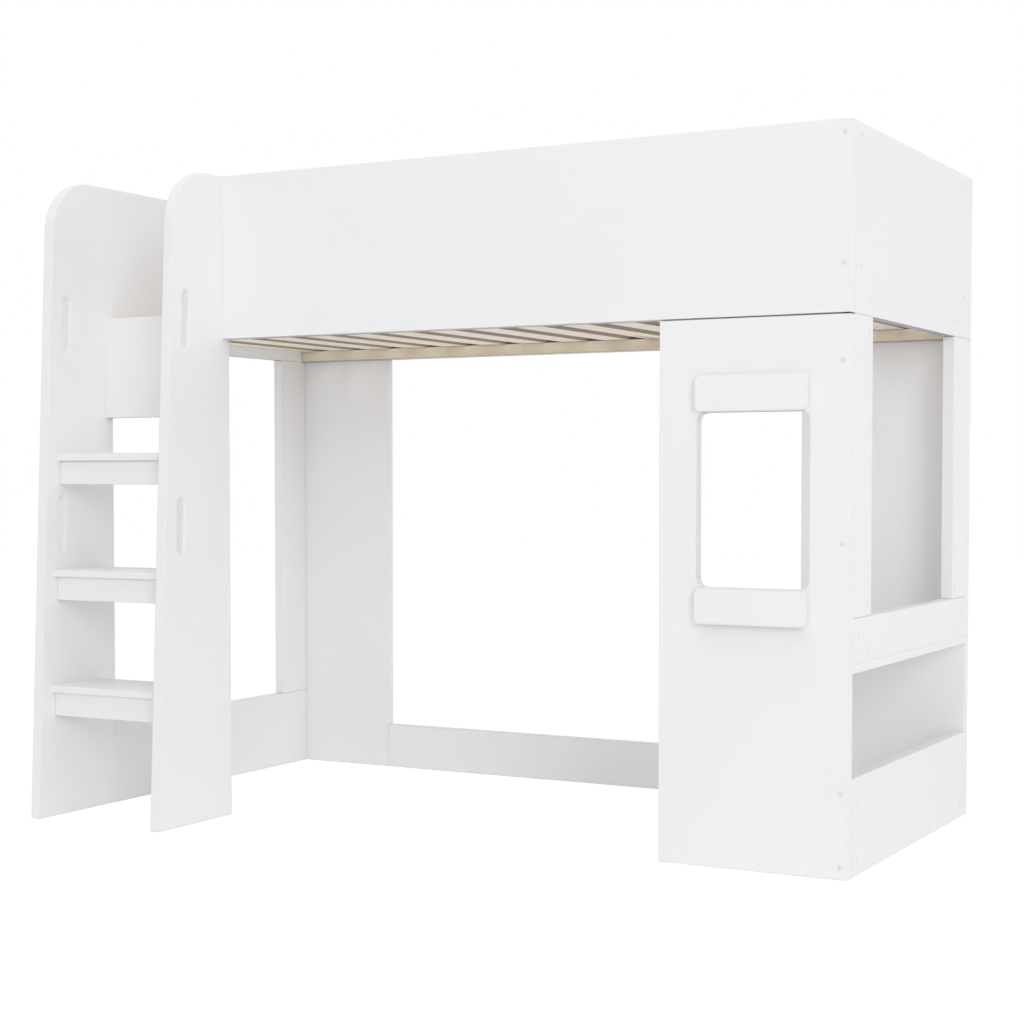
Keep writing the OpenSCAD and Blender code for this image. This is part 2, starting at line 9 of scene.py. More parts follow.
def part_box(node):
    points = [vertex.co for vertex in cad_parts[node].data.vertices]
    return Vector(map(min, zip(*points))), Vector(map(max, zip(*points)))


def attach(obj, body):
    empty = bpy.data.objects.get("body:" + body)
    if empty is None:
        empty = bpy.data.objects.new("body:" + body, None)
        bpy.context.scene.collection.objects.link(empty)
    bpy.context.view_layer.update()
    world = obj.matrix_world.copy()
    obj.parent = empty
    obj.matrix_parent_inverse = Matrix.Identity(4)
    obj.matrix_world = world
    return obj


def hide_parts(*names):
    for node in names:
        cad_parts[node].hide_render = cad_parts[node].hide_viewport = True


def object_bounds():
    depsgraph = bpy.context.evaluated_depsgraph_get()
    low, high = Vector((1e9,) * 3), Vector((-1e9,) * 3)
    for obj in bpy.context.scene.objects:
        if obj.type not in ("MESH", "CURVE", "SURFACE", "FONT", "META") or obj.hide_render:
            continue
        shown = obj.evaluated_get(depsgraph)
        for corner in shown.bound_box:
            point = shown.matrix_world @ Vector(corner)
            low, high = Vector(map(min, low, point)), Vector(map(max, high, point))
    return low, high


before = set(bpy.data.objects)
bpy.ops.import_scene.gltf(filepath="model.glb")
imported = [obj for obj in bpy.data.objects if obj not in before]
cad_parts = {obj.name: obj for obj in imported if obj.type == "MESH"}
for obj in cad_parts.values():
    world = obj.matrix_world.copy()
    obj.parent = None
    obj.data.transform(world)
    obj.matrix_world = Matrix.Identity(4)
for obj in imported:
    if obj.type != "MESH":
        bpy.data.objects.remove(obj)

cad_low, cad_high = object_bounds()

# The room: a white floor and white air around the bed, with wide soft lamps
# from the front and the right, and the camera where the photographer stood.
room_white = (1.0, 1.0, 1.0, 1.0)
floor_white = (0.90, 0.90, 0.90, 1.0)
air_light = 0.55
floor_shown = 1.04
floor_lift = 0.15
shadow_share = 0.05
floor_half = 14.0
floor_drop = 0.0005


def shown_directly(tree):
    """1 for what is seen straight, in a gloss or through glass, 0 for the light on the bed."""
    ray = tree.nodes.new("ShaderNodeLightPath")
    seen = ray.outputs["Is Camera Ray"]
    for other in ("Is Glossy Ray", "Is Transmission Ray"):
        either = tree.nodes.new("ShaderNodeMath")
        either.operation = "MAXIMUM"
        tree.links.new(seen, either.inputs[0])
        tree.links.new(ray.outputs[other], either.inputs[1])
        seen = either.outputs[0]
    return seen


air = bpy.data.worlds.new("white_air")
air.use_nodes = True
air_tree = air.node_tree
air_tree.nodes.clear()
lit_air = air_tree.nodes.new("ShaderNodeBackground")
shown_air = air_tree.nodes.new("ShaderNodeBackground")
for air_side, strength in ((lit_air, air_light), (shown_air, 1.0)):
    air_side.inputs["Color"].default_value = room_white
    air_side.inputs["Strength"].default_value = strength
choose_air = air_tree.nodes.new("ShaderNodeMixShader")
air_tree.links.new(shown_directly(air_tree), choose_air.inputs["Fac"])
air_tree.links.new(lit_air.outputs[0], choose_air.inputs[1])
air_tree.links.new(shown_air.outputs[0], choose_air.inputs[2])
air_out = air_tree.nodes.new("ShaderNodeOutputWorld")
air_tree.links.new(choose_air.outputs[0], air_out.inputs["Surface"])
bpy.context.scene.world = air
bpy.context.scene.view_settings.view_transform = "Standard"

floor_mesh = bpy.data.meshes.new("studio_floor")
floor_mesh.from_pydata(
    [(-floor_half, -floor_half, 0.0), (floor_half, -floor_half, 0.0),
     (floor_half, floor_half, 0.0), (-floor_half, floor_half, 0.0)],
    [], [(0, 1, 2, 3)])
studio_floor = bpy.data.objects.new("studio_floor", floor_mesh)
bpy.context.collection.objects.link(studio_floor)
studio_floor.location.z = -floor_drop
floor_look = bpy.data.materials.new("studio_floor")
floor_look.use_nodes = True
floor_tree = floor_look.node_tree
floor_tree.nodes.clear()
floor_paint = floor_tree.nodes.new("ShaderNodeBsdfDiffuse")
floor_paint.inputs["Color"].default_value = floor_white
floor_fill = floor_tree.nodes.new("ShaderNodeEmission")
floor_fill.inputs["Strength"].default_value = floor_lift
floor_base = floor_tree.nodes.new("ShaderNodeAddShader")
floor_tree.links.new(floor_paint.outputs[0], floor_base.inputs[0])
floor_tree.links.new(floor_fill.outputs[0], floor_base.inputs[1])
floor_glow = floor_tree.nodes.new("ShaderNodeEmission")
floor_glow.inputs["Color"].default_value = room_white
floor_glow.inputs["Strength"].default_value = floor_shown
floor_share = floor_tree.nodes.new("ShaderNodeMath")
floor_share.operation = "MULTIPLY"
floor_share.inputs[1].default_value = 1.0 - shadow_share
floor_tree.links.new(shown_directly(floor_tree), floor_share.inputs[0])
floor_mix = floor_tree.nodes.new("ShaderNodeMixShader")
floor_tree.links.new(floor_share.outputs[0], floor_mix.inputs["Fac"])
floor_tree.links.new(floor_base.outputs[0], floor_mix.inputs[1])
floor_tree.links.new(floor_glow.outputs[0], floor_mix.inputs[2])
floor_out = floor_tree.nodes.new("ShaderNodeOutputMaterial")
floor_tree.links.new(floor_mix.outputs[0], floor_out.inputs["Surface"])
floor_mesh.materials.append(floor_look)


def soft_lamp(name, place, aim, wide, watts):
    lamp = bpy.data.lights.new(name, "AREA")
    lamp.shape = "SQUARE"
    lamp.size = wide
    lamp.energy = watts
    holder = bpy.data.objects.new(name, lamp)
    bpy.context.collection.objects.link(holder)
    holder.location = place
    holder.rotation_euler = (Vector(aim) - Vector(place)).to_track_quat("-Z", "Y").to_euler()


bed_middle = (0.0, 0.0, 0.8)
bed_right_part = (0.4, 0.0, 0.8)
soft_lamp("key_lamp", (9.3, -9.3, 5.6), bed_middle, 5.0, 288.0)
soft_lamp("low_lamp", (9.0, -10.7, 2.7), bed_middle, 5.0, 132.0)
soft_lamp("right_lamp", (9.6, 2.8, 4.0), bed_right_part, 4.0, 62.0)
soft_lamp("top_lamp", (0.0, -2.0, 8.0), bed_middle, 5.0, 150.0)

end_face_x = cad_high[0]
front_face_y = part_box("front_guard")[0].y
stand_beyond_end = 1.3428
stand_before_front = 3.968
stand_height = 0.8772
look_down = 0.0414
turn_left = 0.5003
camera = bpy.data.cameras.new("camera")
camera.lens = 67.14
camera.sensor_width = 36.0
camera.shift_x = -0.0016
camera.shift_y = 0.0442
camera_stand = bpy.data.objects.new("camera", camera)
bpy.context.collection.objects.link(camera_stand)
camera_stand.location = (end_face_x + stand_beyond_end, front_face_y - stand_before_front,
                         stand_height)
camera_stand.rotation_euler = (math.pi / 2 - look_down, 0.0, turn_left)
bpy.context.scene.camera = camera_stand

# Front guard: one long fibreboard plank, cut square, all edges rounded over
# and lacquered white. It is screwed to the right end guard and the stairs.
mm = 0.001
board_rim = 2 * mm
corner_round = 2.2 * mm
rim_steps = 4
rubbed_shade_radius = 5 * mm
bore_points = 28
bore_lip = 0.4 * mm
bore_lean = 0.3
bore_rub_shade = 0.6
arc_degrees = 15
wide_round = 50 * mm
wide_round_steps = 12


def rounded_outline(corners, radii):
    """A closed anticlockwise outline with rounded corners. Each of its points is (place, outward
    direction, share of the rim, weight of edge wear and painted shade), and only small corners
    get it."""
    made = []
    count = len(corners)
    for i, corner in enumerate(corners):
        here = Vector(corner)
        back = (Vector(corners[i - 1]) - here).normalized()
        ahead = (Vector(corners[(i + 1) % count]) - here).normalized()
        half = math.acos(max(-1.0, min(1.0, back.dot(ahead)))) / 2
        radius = radii[i]
        centre = here + (back + ahead).normalized() * (radius / math.sin(half))
        start = Vector((back.y, -back.x))
        if start.dot(ahead) > 0:
            start = -start
        sweep = math.pi - 2 * half
        more_steps = wide_round_steps if radius > wide_round else 0
        steps = max(4, int(math.degrees(sweep) / arc_degrees) + more_steps)
        first = math.atan2(start.y, start.x)
        for k in range(steps + 1):
            angle = first + sweep * k / steps
            out = Vector((math.cos(angle), math.sin(angle)))
            rub_shade = math.sin(math.pi * k / steps) if radius < rubbed_shade_radius else 0.0
            made.append((centre + out * radius, out, 1.0, rub_shade))
    return made


def as_hole(outline):
    """The same outline seen from the material around it."""
    return [(point, -out, share, rub_shade) for point, out, share, rub_shade in reversed(outline)]


def plank_outline(low_u, low_v, high_u, high_v, radius):
    corners = [(low_u, low_v), (high_u, low_v), (high_u, high_v), (low_u, high_v)]
    return rounded_outline(corners, [radius] * 4)


def with_seams(outline, seams):
    """The outline with a share of the rim at each side, low where it meets other boards in one
    plane: low u, high u, low v, high v."""
    made = []
    for point, out, _, rub_shade in outline:
        across = seams[1] if out.x > 0 else seams[0]
        upright = seams[3] if out.y > 0 else seams[2]
        share = across * out.x ** 2 + upright * out.y ** 2
        made.append((point, out, share, rub_shade * share))
    return made


def butted_outline(low_u, low_v, high_u, high_v):
    """A plank whose two ends stand square against other boards, only its sides rounded."""
    corners = [(low_u, low_v, -1.0), (high_u, low_v, -1.0), (high_u, high_v, 1.0),
               (low_u, high_v, 1.0)]
    return [(Vector((u, v)), Vector((0.0, way)), 1.0, 0.0) for u, v, way in corners]


def bore_outline(centre, radius):
    ring = []
    for k in range(bore_points):
        angle = 2 * math.pi * k / bore_points
        out = Vector((math.cos(angle), math.sin(angle)))
        ring.append((Vector(centre) + out * radius, out, 1.0, 0.0))
    return as_hole(ring)


def place_point(axis, u, v, w):
    if axis == "x":
        return Vector((w, u, v))
    if axis == "y":
        return Vector((u, w, v))
    return Vector((u, v, w))


def cut_board(name, axis, low_w, high_w, loops, rims, bores=(), face_shares=(1.0, 1.0)):
    """A board with its two faces across the axis. Each loop has its rim, one radius or (width,
    depth), of which each face takes its share. Bores are (side, centre, radius, depth)."""
    points, normals, rubbed_shade, faces = [], [], [], []

    def add(outline, inset, drop, w, out_share, side_share, rim_rub_shade=0.0, on_face=False):
        """One row of points along an outline, drawn in and sunk, with its leaning normals."""
        row = []
        for point, out, share, rub_shade in outline:
            at = point - out * inset * share
            points.append(place_point(axis, at.x, at.y, w - drop * share))
            lean = place_point(axis, out.x * out_share, out.y * out_share, side_share)
            normals.append(lean.normalized())
            rubbed_shade.append(max(rim_rub_shade * share, 0.0 if on_face else rub_shade))
            row.append(len(points) - 1)
        return row

    def join(rows):
        """Walls between each row of points and the next."""
        for lower, upper in zip(rows, rows[1:]):
            for i in range(len(lower)):
                j = (i + 1) % len(lower)
                faces.append((lower[i], lower[j], upper[j], upper[i]))

    face_rows = {-1: [], 1: []}
    for outline, rim in zip(loops, rims):
        rim_wide, rim_deep = rim if isinstance(rim, tuple) else (rim, rim)
        rows = []
        for side, face_w, face_share in ((-1, low_w, face_shares[0]),
                                         (1, high_w, face_shares[1])):
            wide, deep = rim_wide * face_share, rim_deep * face_share
            rub_shade_share = min(1.0, rubbed_shade_radius / wide)
            rising = []
            for k in range(rim_steps + 1):
                turn = math.pi / 2 * k / rim_steps
                s, c = math.sin(turn), math.cos(turn)
                rising.append(add(outline, wide * (1 - s), side * deep * (1 - c), face_w,
                                  deep * s, side * wide * c, rub_shade_share * 2 * s * c, k == 0))
            rows += rising if side < 0 else rising[::-1]
        join(rows)
        face_rows[-1].append(rows[0])
        face_rows[1].append(rows[-1])

    for side, centre, radius, depth in bores:
        face_w = high_w if side > 0 else low_w
        floor_w = face_w - side * depth
        ring = bore_outline(centre, radius)
        rows = [add(ring, bore_lip, 0.0, face_w, 0.0, side),
                add(ring, 0.0, side * bore_lip, face_w, 1.0, bore_lean * side, bore_rub_shade),
                add(ring, 0.0, -side * bore_lip, floor_w, 1.0, 0.0),
                add(ring, -bore_lip, 0.0, floor_w, 0.0, side)]
        join(rows)
        faces.append(tuple(rows[-1]))
        face_rows[side].append(rows[0])

    across = "xyz".index(axis)
    for side in (-1, 1):
        order = [i for row in face_rows[side] for i in row]
        spots = [Vector([points[i][k] for k in range(3) if k != across]) for i in order]
        edges, ring_of = [], []
        for number, row in enumerate(face_rows[side]):
            first = len(ring_of)
            edges += [(first + k, first + (k + 1) % len(row)) for k in range(len(row))]
            ring_of += [number] * len(row)
        triangles, origins = delaunay_2d_cdt(spots, edges, [], 1, 1e-7)[2:4]
        for triangle in triangles:
            corners = [origins[i][0] for i in triangle]
            rings = {ring_of[i] for i in corners}
            if len(rings) > 1 or 0 in rings:
                faces.append(tuple(order[i] for i in corners))

    mesh = bpy.data.meshes.new(name)
    mesh.from_pydata(points, [], faces)
    shape = bmesh.new()
    shape.from_mesh(mesh)
    bmesh.ops.recalc_face_normals(shape, faces=shape.faces)
    for face in shape.faces:
        face.smooth = True
    shape.to_mesh(mesh)
    shape.free()
    mesh.normals_split_custom_set_from_vertices(normals)
    # Weight of edge wear and painted shade on each point of the rims, for the material.
    mesh.attributes.new("rubbed_shade", "FLOAT", "POINT").data.foreach_set("value", rubbed_shade)
    board = bpy.data.objects.new(name, mesh)
    bpy.context.collection.objects.link(board)
    return board


def plank(name, node, axis, bores=(), rim=board_rim, corner=corner_round, butted=False,
          seams=(1.0, 1.0, 1.0, 1.0), face_shares=(1.0, 1.0)):
    """A plain board in the place of one node of the frame."""
    low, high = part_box(node)
    across = "xyz".index(axis)
    u, v = [i for i in range(3) if i != across]
    if butted:
        outline = butted_outline(low[u], low[v], high[u], high[v])
    else:
        outline = with_seams(plank_outline(low[u], low[v], high[u], high[v], corner), seams)
    board = cut_board(name, axis, low[across], high[across], [outline], [rim], bores, face_shares)
    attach(board, "root")
    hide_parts(node)
    return board


def noise_at(tree, vector, scale, detail, rough):
    noise = tree.nodes.new("ShaderNodeTexNoise")
    noise.inputs["Scale"].default_value = scale
    noise.inputs["Detail"].default_value = detail
    noise.inputs["Roughness"].default_value = rough
    tree.links.new(vector, noise.inputs["Vector"])
    return noise.outputs["Fac"]


def spread(tree, value, low, high, to_low, to_high):
    ranged = tree.nodes.new("ShaderNodeMapRange")
    ranged.inputs["From Min"].default_value = low
    ranged.inputs["From Max"].default_value = high
    ranged.inputs["To Min"].default_value = to_low
    ranged.inputs["To Max"].default_value = to_high
    tree.links.new(value, ranged.inputs["Value"])
    return ranged.outputs["Result"]


def product(tree, first, second):
    both = tree.nodes.new("ShaderNodeMath")
    both.operation = "MULTIPLY"
    tree.links.new(first, both.inputs[0])
    tree.links.new(second, both.inputs[1])
    return both.outputs[0]


def band(tree, value, low, high, soft):
    """A mask that is 1 between two values and fades out beyond them."""
    return product(tree, spread(tree, value, low - soft, low, 0.0, 1.0),
                   spread(tree, value, high, high + soft, 1.0, 0.0))


def blend_colours(tree, share, first, second):
    mix = tree.nodes.new("ShaderNodeMix")
    mix.data_type = "RGBA"
    tree.links.new(share, mix.inputs[0])
    for value, socket in ((first, mix.inputs[6]), (second, mix.inputs[7])):
        if isinstance(value, tuple):
            socket.default_value = value
        else:
            tree.links.new(value, socket)
    return mix.outputs[2]


def effect_group(name, inputs, outputs):
    """An empty node group with named sockets, and the nodes of its inputs and outputs."""
    group = bpy.data.node_groups.new(name, "ShaderNodeTree")
    for title, kind in inputs.items():
        group.interface.new_socket(title, in_out="INPUT", socket_type="NodeSocket" + kind)
    for title in outputs:
        group.interface.new_socket(title, in_out="OUTPUT", socket_type="NodeSocketFloat")
    return group, group.nodes.new("NodeGroupInput"), group.nodes.new("NodeGroupOutput")


def effect(tree, group, values):
    """The group set into a material with its own values; gives the group's outputs."""
    node = tree.nodes.new("ShaderNodeGroup")
    node.node_tree = group
    for title, value in values.items():
        if isinstance(value, (float, tuple)):
            node.inputs[title].default_value = value
        else:
            tree.links.new(value, node.inputs[title])
    return node.outputs


def edge_wear_shade_group():
    """Where rounded edges are worn and darkened as painted shade against their highlight: a mask
    from 0 to 1 broken up by noise.
    """
    group, entry, result = effect_group(
        "edge_wear_shade", {"Vector": "Vector", "Break Up": "Float"}, ["Mask"])
    rubbed_shade = group.nodes.new("ShaderNodeAttribute")
    rubbed_shade.attribute_name = "rubbed_shade"
    noise = group.nodes.new("ShaderNodeTexNoise")
    noise.inputs["Detail"].default_value = 4.0
    group.links.new(entry.outputs["Vector"], noise.inputs["Vector"])
    group.links.new(entry.outputs["Break Up"], noise.inputs["Scale"])
    patches = spread(group, noise.outputs["Fac"], 0.35, 0.65, 0.6, 1.0)
    group.links.new(product(group, rubbed_shade.outputs["Fac"], patches), result.inputs["Mask"])
    return group


def corner_shade_group():
    """Painted shade where boards meet in a corner, from ambient occlusion: a mask from 0 to 1."""
    group, entry, result = effect_group("corner_shade", {"Reach": "Float"}, ["Mask"])
    corner = group.nodes.new("ShaderNodeAmbientOcclusion")
    corner.samples = 6
    group.links.new(entry.outputs["Reach"], corner.inputs["Distance"])
    group.links.new(spread(group, corner.outputs["AO"], 0.25, 0.90, 1.0, 0.0),
                    result.inputs["Mask"])
    return group


def sprayed_coat_group():
    """Sprayed lacquer: faint clouding, smears in the sheen, and orange peel as a height."""
    group, entry, result = effect_group(
        "sprayed_coat", {"Vector": "Vector"}, ["Cloud", "Sheen", "Peel"])
    place = entry.outputs["Vector"]
    cloud = noise_at(group, place, 2.4, 3.0, 0.55)
    group.links.new(spread(group, cloud, 0.35, 0.70, 0.0, 1.0), result.inputs["Cloud"])
    smear = noise_at(group, place, 9.0, 5.0, 0.6)
    group.links.new(spread(group, smear, 0.30, 0.75, 0.36, 0.46), result.inputs["Sheen"])
    wave = noise_at(group, place, 60.0, 2.0, 0.5)
    height = group.nodes.new("ShaderNodeMath")
    height.operation = "MULTIPLY_ADD"
    height.inputs[1].default_value = 0.4
    group.links.new(wave, height.inputs[0])
    group.links.new(noise_at(group, place, 420.0, 2.0, 0.5), height.inputs[2])
    group.links.new(height.outputs[0], result.inputs["Peel"])
    return group


def underside_group():
    """Painted shade on faces that look down: a mask from 0 to 1."""
    group, entry, result = effect_group("underside", {"Normal": "Vector"}, ["Mask"])
    facing = group.nodes.new("ShaderNodeSeparateXYZ")
    group.links.new(entry.outputs["Normal"], facing.inputs[0])
    group.links.new(spread(group, facing.outputs["Z"], -0.98, -0.80, 1.0, 0.0),
                    result.inputs["Mask"])
    return group


edge_wear_shade = edge_wear_shade_group()
corner_shade = corner_shade_group()
sprayed_coat = sprayed_coat_group()
underside = underside_group()


# Painted shade in corners, with its reach and its strength.
def corner_shade_mask(tree, reach, strength):
    return spread(tree, effect(tree, corner_shade, {"Reach": reach})["Mask"], 0.0, 1.0, 0.0, strength)


coat_bump = 0.4 * mm
lacquer_colour = (0.920, 0.920, 0.932, 1.0)
lacquer_cloud = (0.906, 0.906, 0.918, 1.0)
# Colour of worn edges, darkened also as painted shade against the rim highlight.
lacquer_worn_shade = (0.780, 0.780, 0.788, 1.0)
# Painted shade in corners between parts and in driver sockets.
lacquer_corner_shade = (0.220, 0.220, 0.235, 1.0)
# Painted shade on faces that look down.
lacquer_underside_shade = (0.400, 0.400, 0.410, 1.0)
# Dark brown painted shade where the slats meet the guards.
slat_shade_brown = (0.170, 0.085, 0.036, 1.0)


def lacquer_material(name, shade_below=True, shade_zone=None, joints=(12 * mm, 0.05)):
    """Sprayed white lacquer, worn at the edges where it also carries painted shade against the
    rim highlight, and with painted shade in its corners, whose reach and strength are given.
    It can carry painted shade on faces that look down, and a dark brown painted shade in one zone
    where the slats meet it."""
    look = bpy.data.materials.new(name)
    look.use_nodes = True
    tree = look.node_tree
    paint = tree.nodes["Principled BSDF"]
    spot = tree.nodes.new("ShaderNodeTexCoord")
    place = spot.outputs["Object"]
    coat = effect(tree, sprayed_coat, {"Vector": place})
    colour = blend_colours(tree, coat["Cloud"], lacquer_colour, lacquer_cloud)
    wear_shade = effect(tree, edge_wear_shade, {"Vector": place, "Break Up": 60.0})["Mask"]
    colour = blend_colours(tree, spread(tree, wear_shade, 0.0, 1.0, 0.0, 0.70), colour, lacquer_worn_shade)
    # Painted shade in the corners between boards.
    colour = blend_colours(tree, corner_shade_mask(tree, *joints), colour, lacquer_corner_shade)
    # Painted shade on faces that look down.
    if shade_below:
        below_shade = effect(tree, underside, {"Normal": spot.outputs["Normal"]})["Mask"]
        colour = blend_colours(tree, below_shade, colour, lacquer_underside_shade)
    if shade_zone:
        at = tree.nodes.new("ShaderNodeSeparateXYZ")
        tree.links.new(place, at.inputs[0])
        low, high = shade_zone
        zone_shade = None
        for k, side in enumerate("XYZ"):
            mask = band(tree, at.outputs[side], low[k], high[k], 1 * mm)
            zone_shade = product(tree, zone_shade, mask) if zone_shade else mask
        share = spread(tree, zone_shade, 0.0, 1.0, 0.0, 0.95)
        colour = blend_colours(tree, share, colour, slat_shade_brown)
    tree.links.new(colour, paint.inputs["Base Color"])
    tree.links.new(coat["Sheen"], paint.inputs["Roughness"])
    paint.inputs["Specular IOR Level"].default_value = 0.35
    bump = tree.nodes.new("ShaderNodeBump")
    bump.inputs["Strength"].default_value = 0.10
    bump.inputs["Distance"].default_value = coat_bump
    tree.links.new(coat["Peel"], bump.inputs["Height"])
    tree.links.new(bump.outputs["Normal"], paint.inputs["Normal"])
    return look


slats_low, slats_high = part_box("bed_slats")
# Painted shade: a dark brown zone on the inner faces of the guards and the entry board, where the
# slats meet them and shade falls between the slats.
shade_left = 60 * mm
shade_right = 1 * mm
shade_deep = 3 * mm
shade_inset = 1 * mm
white_lacquer = lacquer_material("white_lacquer")
slat_shaded_lacquer = lacquer_material(
    "white_lacquer_slat_shaded",
    shade_zone=(slats_low - Vector((shade_left, shade_deep, -shade_inset)),
                slats_high + Vector((shade_right, shade_deep, -shade_inset))))


def lacquer(board, look=white_lacquer):
    board.data.materials.append(look)


screw_bore = 6.12 * mm
screw_recess = 4.2 * mm
rear_face_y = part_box("rear_guard")[1].y
left_face_x = cad_low[0]
guard_top = cad_high[2]
guard_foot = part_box("front_guard")[0].z
screw_inset = 16.5 * mm
guard_end_seam = 0.1
guard_heights = [guard_foot + 106 * mm, guard_top - 29 * mm]
leg_heights = [28 * mm, 188 * mm, 734 * mm, guard_foot - 104 * mm]

front_guard = plank(
    "front_guard_board", "front_guard", "y",
    [(-1, (end_face_x - screw_inset, h), screw_bore, screw_recess) for h in guard_heights],
    seams=(guard_end_seam, 1.0, 1.0, 1.0))
# Its inner face carries the dark brown painted shade where the slats meet it.
lacquer(front_guard, slat_shaded_lacquer)

# Window panel: the front right leg board, with a sawn window whose corners
# and edges are rounded. It stands on the floor and is screwed to the end frame.
window_wide = 266 * mm
window_low = 632 * mm
window_high = 1024 * mm
window_corner = 20 * mm
window_rim = 3 * mm
panel_low, panel_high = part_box("window_panel")
window_mid = (panel_low.x + panel_high.x) / 2
panel_outline = plank_outline(
    panel_low.x, panel_low.z, panel_high.x, panel_high.z, corner_round)
window_outline = as_hole(plank_outline(
    window_mid - window_wide / 2, window_low, window_mid + window_wide / 2, window_high,
    window_corner))
window_panel = cut_board(
    "window_panel_board", "y", panel_low.y, panel_high.y,
    [panel_outline, window_outline], [board_rim, window_rim],
    [(-1, (end_face_x - screw_inset, h), screw_bore, screw_recess) for h in leg_heights])
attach(window_panel, "root")
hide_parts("window_panel")
lacquer(window_panel)

# Window trims: a lintel and a sill, short thick boards with generously rounded
# corners and edges, screwed on from behind the panel.
trim_rim = 5 * mm
trim_corner = 15 * mm
for trim_name in ("window_lintel", "window_sill"):
    trim = plank(trim_name + "_board", trim_name, "y", rim=trim_rim, corner=trim_corner)
    lacquer(trim)

# Right end frame: guard, two upright strips, upper rail, shelf and bottom rail,
# drawn together by cams that are set flush into the outer faces.
cam_bore = 7.65 * mm
cam_recess = 12.6 * mm
cam_reach = 39 * mm
link_reach = 100 * mm
rail_cam_heights = [35 * mm, 163 * mm]
upper_rail_cam_rise = 66 * mm
upper_rail_link_drop = 77 * mm
strip_link_rise = 29 * mm
shelf_cam_inset = 80 * mm
flush_seam = 0.4
end_low, end_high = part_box("right_end_guard")
front_cam_y = end_low.y + cam_reach
rear_cam_y = end_high.y - cam_reach
front_link_y = end_low.y + link_reach
rear_link_y = end_high.y - link_reach
upper_rail_low, upper_rail_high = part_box("right_upper_rail")


def cams_in(node, places):
    low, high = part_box(node)
    return [(y, z) for y, z in places if low.z < z < high.z and low.y < y < high.y]


right_cam_places = []
for side_y in (front_cam_y, rear_cam_y):
    for z in rail_cam_heights + [upper_rail_low.z + upper_rail_cam_rise] + guard_heights:
        right_cam_places.append((side_y, z))
for side_y in (front_link_y, rear_link_y):
    for z in [upper_rail_high.z - upper_rail_link_drop, upper_rail_high.z + strip_link_rise,
              guard_foot - cam_reach, guard_foot + cam_reach]:
        right_cam_places.append((side_y, z))

for node_name in ("right_end_guard", "right_front_strip", "right_rear_strip",
                  "right_upper_rail", "right_bottom_rail"):
    bores = [(1, place, cam_bore, cam_recess) for place in cams_in(node_name, right_cam_places)]
    shelf_seam = flush_seam if node_name == "right_upper_rail" else 1.0
    lacquer(plank(node_name + "_board", node_name, "x", bores, seams=(1.0, 1.0, shelf_seam, 1.0)))
shelf_low, shelf_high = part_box("side_shelf")
shelf_cam_places = [(x, y)
                    for x in (shelf_low.x + shelf_cam_inset, shelf_high.x - shelf_cam_inset)
                    for y in (front_cam_y, rear_cam_y)]
level_lacquer = lacquer_material("white_lacquer_level", shade_below=False)
lacquer(plank("side_shelf_board", "side_shelf", "z",
              [(-1, place, cam_bore, cam_recess) for place in shelf_cam_places],
              face_shares=(1.0, flush_seam)), level_lacquer)

# Rear boards: guard, two leg boards and a bottom rail in one plane, with screw
# heads along both corners and cams at the seams.
leg_cam_inset = 60 * mm
rear_link_x = []
for leg_name in ("rear_left_leg", "rear_right_leg"):
    leg_low, leg_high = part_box(leg_name)
    rear_link_x += [leg_low.x + leg_cam_inset, leg_high.x - leg_cam_inset]
rear_cam_places = [(x, guard_foot + s * cam_reach) for x in rear_link_x for s in (-1, 1)]
rear_rail_low, rear_rail_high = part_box("rear_bottom_rail")
rear_rail_mid = (rear_rail_low.z + rear_rail_high.z) / 2
for seam in (rear_rail_low.x, rear_rail_high.x):
    rear_cam_places += [(seam - cam_reach, rear_rail_mid), (seam + cam_reach, rear_rail_mid)]
rear_screw_places = []
for x in (left_face_x + screw_inset, end_face_x - screw_inset):
    rear_screw_places += [(x, h) for h in leg_heights + guard_heights]
for node_name in ("rear_guard", "rear_left_leg", "rear_right_leg", "rear_bottom_rail"):
    low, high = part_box(node_name)
    bores = [(1, (x, z), cam_bore, cam_recess) for x, z in rear_cam_places
             if low.x < x < high.x and low.z < z < high.z]
    bores += [(1, (x, z), screw_bore, screw_recess) for x, z in rear_screw_places
              if low.x < x < high.x and low.z < z < high.z]
    # The rear guard carries the dark brown painted shade where the slats meet it.
    look = slat_shaded_lacquer if node_name == "rear_guard" else white_lacquer
    lacquer(plank(node_name + "_board", node_name, "y", bores), look)

# Left end frame: guard, one rear strip and bottom rail of the same board, drawn
# together by cams and joined to the left stair panel in one plane.
left_cam_places = []
for z in rail_cam_heights + guard_heights:
    left_cam_places += [(rear_cam_y, z), (end_low.y + cam_reach, z), (end_low.y - cam_reach, z)]
left_rail_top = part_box("left_bottom_rail")[1].z
for seam in (guard_foot, left_rail_top):
    left_cam_places += [(rear_link_y, seam - cam_reach), (rear_link_y, seam + cam_reach)]
for node_name in ("left_end_guard", "left_rear_strip", "left_bottom_rail"):
    bores = [(-1, place, cam_bore, cam_recess) for place in cams_in(node_name, left_cam_places)]
    front_seam = 1.0 if node_name == "left_rear_strip" else flush_seam
    lacquer(plank(node_name + "_board", node_name, "x", bores, seams=(front_seam, 1.0, 1.0, 1.0)))

# Stair panels: two tall boards whose front edge leans back, with a round
# shoulder at the top and two hand slots with rounded-over rims.
stair_rim = 4 * mm
stair_corner = 4.2 * mm
shoulder = 143 * mm
lean_angle = math.radians(2.7)
lean = math.tan(lean_angle)
slot_long = 138 * mm
slot_wide = 22 * mm
slot_back = 62 * mm
slot_rim = (12 * mm, 8 * mm)
slot_heights = [759 * mm, 1276 * mm]
slot_end_flat = 0.1 * mm
rear_crispness = 0.70
stair_screw_inset = 15 * mm


